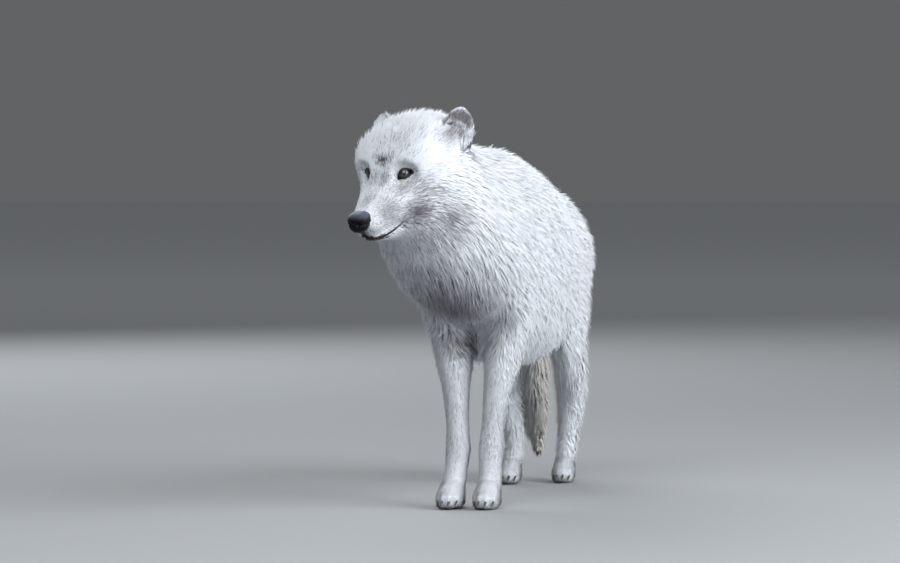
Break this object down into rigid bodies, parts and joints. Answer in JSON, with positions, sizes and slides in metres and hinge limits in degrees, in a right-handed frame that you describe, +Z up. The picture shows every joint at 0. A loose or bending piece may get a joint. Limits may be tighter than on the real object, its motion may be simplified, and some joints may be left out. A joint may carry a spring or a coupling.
{
  "type": "arctic wolf",
  "caption": "Life-size standing arctic wolf in winter coat, turned three-quarter to the viewer, parted into head, neck, trunk, legs, tail, ears, eyes, nose and claws",
  "frame": {"origin": "on the floor, under the middle of the bounding box", "axes": "+Z up, the wolf's spine along Y with the head toward -Y and the tail toward +Y, its left side at +X"},
  "size_m": [0.321, 1.1798, 0.7978],
  "materials": {
    "coat": "soft matte fur",
    "eye": "wet gloss",
    "nose_skin": "moist satin",
    "claw_horn": "satin"
  },
  "bodies": {
    "root": {"head": "coat", "lower_jaw": "coat", "neck": "coat", "chest": "coat", "belly": "coat", "rump": "coat", "tail": "coat", "left_ear": "coat", "right_ear": "coat", "left_upper_foreleg": "coat", "left_forearm": "coat", "left_fore_pastern": "coat", "left_forepaw": "coat", "right_upper_foreleg": "coat", "right_forearm": "coat", "right_fore_pastern": "coat", "right_forepaw": "coat", "left_thigh": "coat", "left_shank": "coat", "left_hock": "coat", "left_hind_paw": "coat", "right_thigh": "coat", "right_shank": "coat", "right_hock": "coat", "right_hind_paw": "coat", "left_eye": "eye", "right_eye": "eye", "nose": "nose_skin", "left_fore_claw_1": "claw_horn", "left_fore_claw_2": "claw_horn", "left_fore_claw_3": "claw_horn", "left_fore_claw_4": "claw_horn", "right_fore_claw_1": "claw_horn", "right_fore_claw_2": "claw_horn", "right_fore_claw_3": "claw_horn", "right_fore_claw_4": "claw_horn", "left_hind_claw_1": "claw_horn", "left_hind_claw_2": "claw_horn", "left_hind_claw_3": "claw_horn", "left_hind_claw_4": "claw_horn", "right_hind_claw_1": "claw_horn", "right_hind_claw_2": "claw_horn", "right_hind_claw_3": "claw_horn", "right_hind_claw_4": "claw_horn"}
  },
  "joints": []
}
